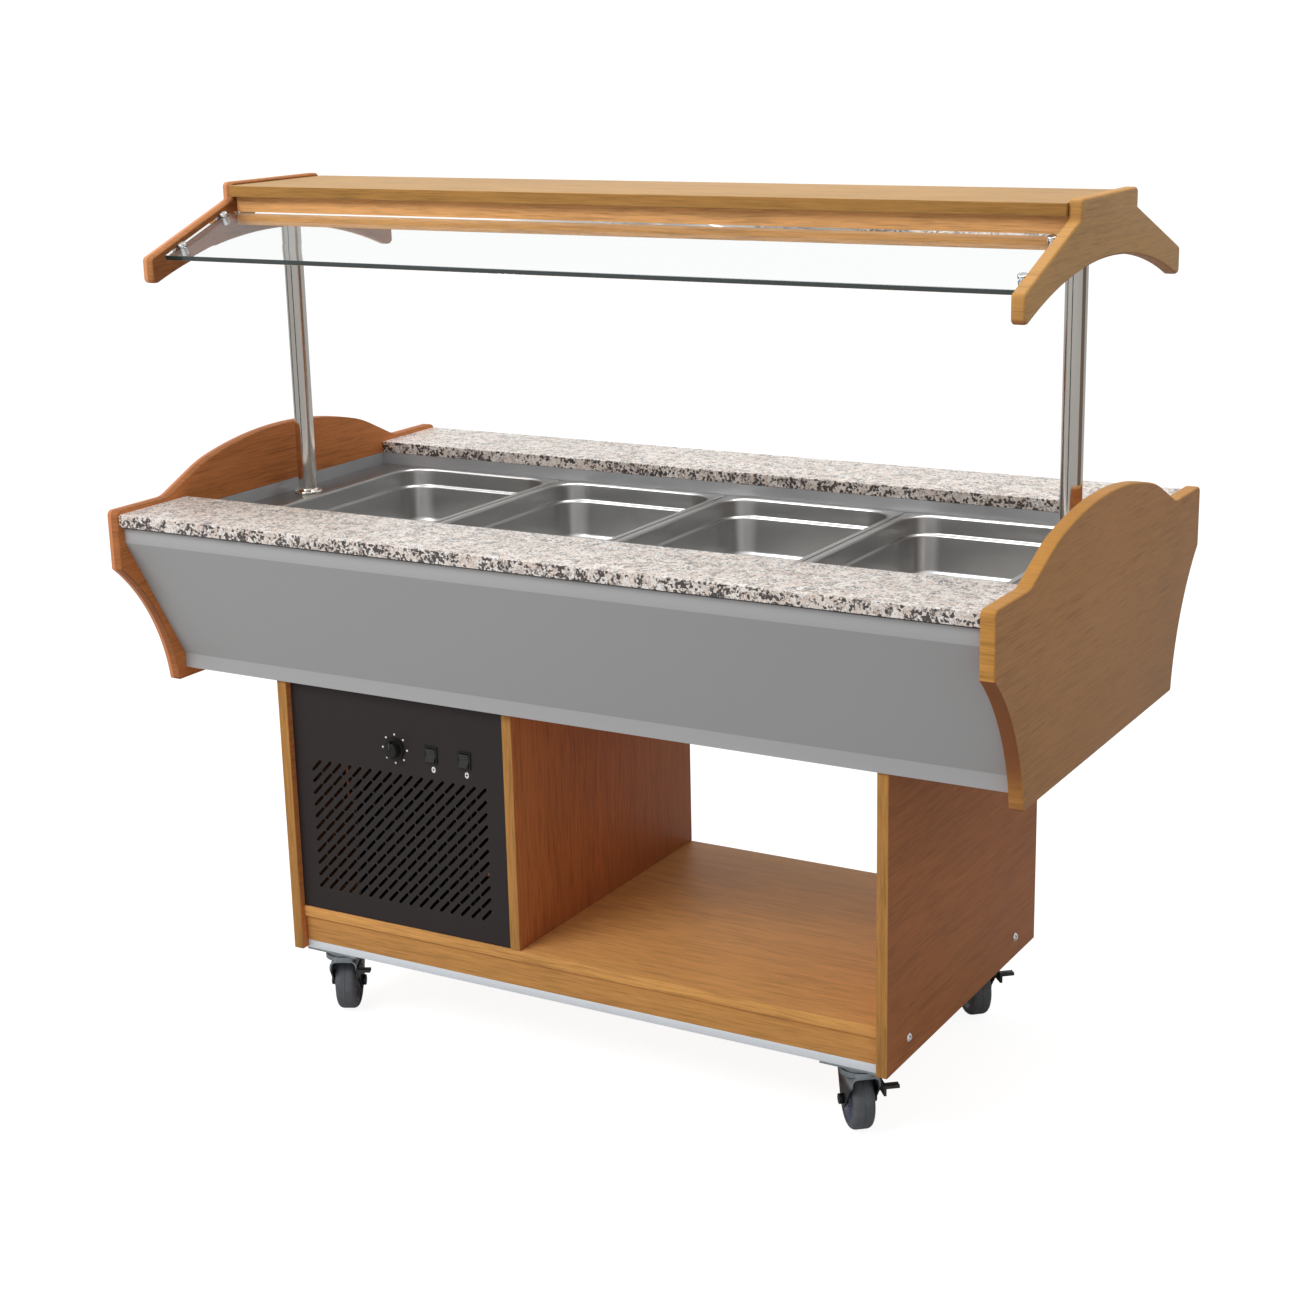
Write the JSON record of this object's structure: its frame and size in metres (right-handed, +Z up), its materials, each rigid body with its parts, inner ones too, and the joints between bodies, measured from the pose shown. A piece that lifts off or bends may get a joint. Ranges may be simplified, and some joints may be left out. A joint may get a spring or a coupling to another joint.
{
  "type": "mobile salad bar",
  "caption": "Mobile refrigerated salad bar: wooden cabinet on braked swivel castors, food pans between granite ledges, wooden canopy with sneeze glass on steel posts.",
  "frame": {"origin": "on the floor under the middle of the trolley's plan", "axes": "+X along the length to the right, -Y towards the customer's front with the controls, +Z up"},
  "size_m": [1.49, 0.862, 1.358],
  "materials": {
    "wood": "satin laminate",
    "shelf_board": "satin laminate",
    "granite": "polished speckled granite",
    "steel": "brushed stainless",
    "fascia": "satin stainless",
    "post_steel": "polished stainless tube",
    "seal": "matte",
    "foam": "rigid foam",
    "drain_plastic": "matte",
    "lamp_white": "white enamel",
    "lamp_glass": "opal tube",
    "pane_glass": "clear with polished edges",
    "chrome": "polished",
    "aluminium": "anodised",
    "grille": "dark brown powder coat",
    "control_plastic": "matte",
    "knob": "satin black",
    "rocker": null,
    "condenser": "finned",
    "shroud": "black enamel",
    "motor": "black enamel",
    "rotor": "pressed",
    "copper": "copper tube",
    "zinc": "zinc plated",
    "tyre": "grey-black rubber on a plastic hub",
    "pedal": "black"
  },
  "bodies": {
    "trolley": {"left_cheek": "wood", "right_cheek": "wood", "left_bracket": "wood", "right_bracket": "wood", "top_board": "wood", "valances": "wood", "left_side": "wood", "right_side": "wood", "divider": "wood", "base_frame": "wood", "floor_board": "wood", "shelf": "shelf_board", "front_granite": "granite", "rear_granite": "granite", "well_liner": "steel", "pan_bars": "steel", "front_fascia": "fascia", "rear_fascia": "fascia", "left_post": "post_steel", "right_post": "post_steel", "granite_seals": "seal", "insulation_foam": "foam", "drain_pipe": "drain_plastic", "lamp_fitting": "lamp_white", "lamp": "lamp_glass", "front_glass": "pane_glass", "rear_glass": "pane_glass", "glass_standoffs": "chrome", "cover_caps": "chrome", "plinth_strips": "aluminium", "front_grille": "grille", "rear_grille": "grille", "control_box": "control_plastic", "switch_bezels": "control_plastic", "condenser": "condenser", "fan_shroud": "shroud", "fan_motor": "motor", "compressor": "motor", "refrigerant_lines": "copper", "castor_plates": "zinc"},
    "front_left_fork": {"front_left_fork": "zinc"},
    "front_left_wheel": {"front_left_wheel": "tyre"},
    "front_left_pedal": {"front_left_pedal": "pedal"},
    "front_right_fork": {"front_right_fork": "zinc"},
    "front_right_wheel": {"front_right_wheel": "tyre"},
    "front_right_pedal": {"front_right_pedal": "pedal"},
    "rear_left_fork": {"rear_left_fork": "zinc"},
    "rear_left_wheel": {"rear_left_wheel": "tyre"},
    "rear_left_pedal": {"rear_left_pedal": "pedal"},
    "rear_right_fork": {"rear_right_fork": "zinc"},
    "rear_right_wheel": {"rear_right_wheel": "tyre"},
    "rear_right_pedal": {"rear_right_pedal": "pedal"},
    "pan_1": {"pan_1": "steel"},
    "pan_2": {"pan_2": "steel"},
    "pan_3": {"pan_3": "steel"},
    "pan_4": {"pan_4": "steel"},
    "thermostat_knob": {"thermostat_knob": "knob"},
    "cooling_switch": {"cooling_switch": "rocker"},
    "light_switch": {"light_switch": "rocker"},
    "fan_rotor": {"fan_rotor": "rotor"}
  },
  "joints": [
    {"name": "front_left_swivel", "type": "hinge", "parent": "trolley", "child": "front_left_fork", "pos_m": [-0.473, -0.243, 0.105], "axis": [0, 0, 1], "continuous": true},
    {"name": "front_left_roll", "type": "hinge", "parent": "front_left_fork", "child": "front_left_wheel", "pos_m": [-0.48117, -0.22696, 0.0475], "axis": [0.891, 0.454, 0], "continuous": true},
    {"name": "front_left_brake", "type": "hinge", "parent": "front_left_fork", "child": "front_left_pedal", "pos_m": [-0.44755, -0.23677, 0.0835], "axis": [0.891, 0.454, 0], "range_deg": [0, 12]},
    {"name": "front_right_swivel", "type": "hinge", "parent": "trolley", "child": "front_right_fork", "pos_m": [0.473, -0.243, 0.105], "axis": [0, 0, 1], "continuous": true},
    {"name": "front_right_roll", "type": "hinge", "parent": "front_right_fork", "child": "front_right_wheel", "pos_m": [0.46143, -0.22921, 0.0475], "axis": [0.766, 0.6428, 0], "continuous": true},
    {"name": "front_right_brake", "type": "hinge", "parent": "front_right_fork", "child": "front_right_pedal", "pos_m": [0.49639, -0.2312, 0.0835], "axis": [0.766, 0.6428, 0], "range_deg": [0, 12]},
    {"name": "rear_left_swivel", "type": "hinge", "parent": "trolley", "child": "rear_left_fork", "pos_m": [-0.473, 0.212, 0.105], "axis": [0, 0, 1], "continuous": true},
    {"name": "rear_left_roll", "type": "hinge", "parent": "rear_left_fork", "child": "rear_left_wheel", "pos_m": [-0.48332, 0.22675, 0.0475], "axis": [0.8192, 0.5736, 0], "continuous": true},
    {"name": "rear_left_brake", "type": "hinge", "parent": "rear_left_fork", "child": "rear_left_pedal", "pos_m": [-0.44867, 0.22171, 0.0835], "axis": [0.8192, 0.5736, 0], "range_deg": [0, 12]},
    {"name": "rear_right_swivel", "type": "hinge", "parent": "trolley", "child": "rear_right_fork", "pos_m": [0.473, 0.212, 0.105], "axis": [0, 0, 1], "continuous": true},
    {"name": "rear_right_roll", "type": "hinge", "parent": "rear_right_fork", "child": "rear_right_wheel", "pos_m": [0.46119, 0.22559, 0.0475], "axis": [0.7547, 0.6561, 0], "continuous": true},
    {"name": "rear_right_brake", "type": "hinge", "parent": "rear_right_fork", "child": "rear_right_pedal", "pos_m": [0.49618, 0.2242, 0.0835], "axis": [0.7547, 0.6561, 0], "range_deg": [0, 12]},
    {"name": "pan_1_lift", "type": "slide", "parent": "trolley", "child": "pan_1", "axis": [0, 0, 1], "range_m": [0, 0.15]},
    {"name": "pan_2_lift", "type": "slide", "parent": "trolley", "child": "pan_2", "axis": [0, 0, 1], "range_m": [0, 0.15]},
    {"name": "pan_3_lift", "type": "slide", "parent": "trolley", "child": "pan_3", "axis": [0, 0, 1], "range_m": [0, 0.15]},
    {"name": "pan_4_lift", "type": "slide", "parent": "trolley", "child": "pan_4", "axis": [0, 0, 1], "range_m": [0, 0.15]},
    {"name": "thermostat_turn", "type": "hinge", "parent": "trolley", "child": "thermostat_knob", "pos_m": [-0.3175, -0.283, 0.4965], "axis": [0, 1, 0], "range_deg": [0, 270]},
    {"name": "cooling_switch_rock", "type": "hinge", "parent": "trolley", "child": "cooling_switch", "pos_m": [-0.248, -0.279, 0.496], "axis": [1, 0, 0], "range_deg": [0, 10]},
    {"name": "light_switch_rock", "type": "hinge", "parent": "trolley", "child": "light_switch", "pos_m": [-0.185, -0.279, 0.496], "axis": [1, 0, 0], "range_deg": [0, 10]},
    {"name": "fan_spin", "type": "hinge", "parent": "trolley", "child": "fan_rotor", "pos_m": [-0.316, -0.186, 0.303], "axis": [0, 1, 0], "continuous": true}
  ]
}
